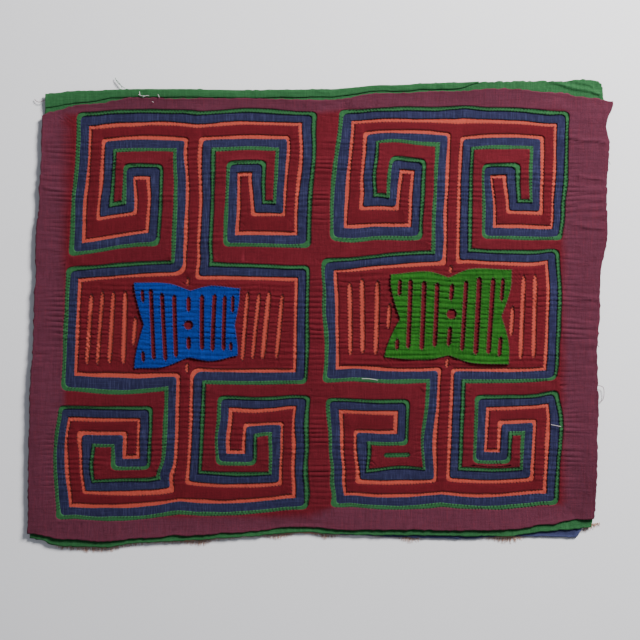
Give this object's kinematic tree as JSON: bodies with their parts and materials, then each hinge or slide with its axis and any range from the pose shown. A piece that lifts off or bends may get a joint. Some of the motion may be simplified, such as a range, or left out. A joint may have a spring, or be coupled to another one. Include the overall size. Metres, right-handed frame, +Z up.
{
  "type": "mola panel",
  "caption": "Flat reverse applique cotton panel: square spiral figures cut through layered cloths, with waisted patches and a folded-over top edge.",
  "frame": {"origin": "on the table, under the middle of the panel", "axes": "+X along the panel's length to the right, +Y to the panel's top edge with the folded green strip, +Z up out of the panel's face"},
  "size_m": [0.4086, 0.3292, 0.0063],
  "materials": {
    "orange_base_cloth": "coarse orange cotton, raw frayed edges",
    "navy_cloth": "navy cotton with a paler cross thread",
    "green_cloth": "plain green cotton, raw top edge folded over",
    "maroon_ground_cloth": "plain maroon cotton, crossed by small puckers",
    "left_figure": "plain maroon cotton",
    "right_figure": "plain maroon cotton",
    "blue_patch": "bright blue cotton",
    "green_patch": "green cotton with darker puckers"
  },
  "bodies": {
    "root": {"orange_base_cloth": "orange_base_cloth", "navy_cloth": "navy_cloth", "green_cloth": "green_cloth", "maroon_ground_cloth": "maroon_ground_cloth", "left_figure": "left_figure", "right_figure": "right_figure", "blue_patch": "blue_patch", "green_patch": "green_patch"}
  },
  "joints": []
}
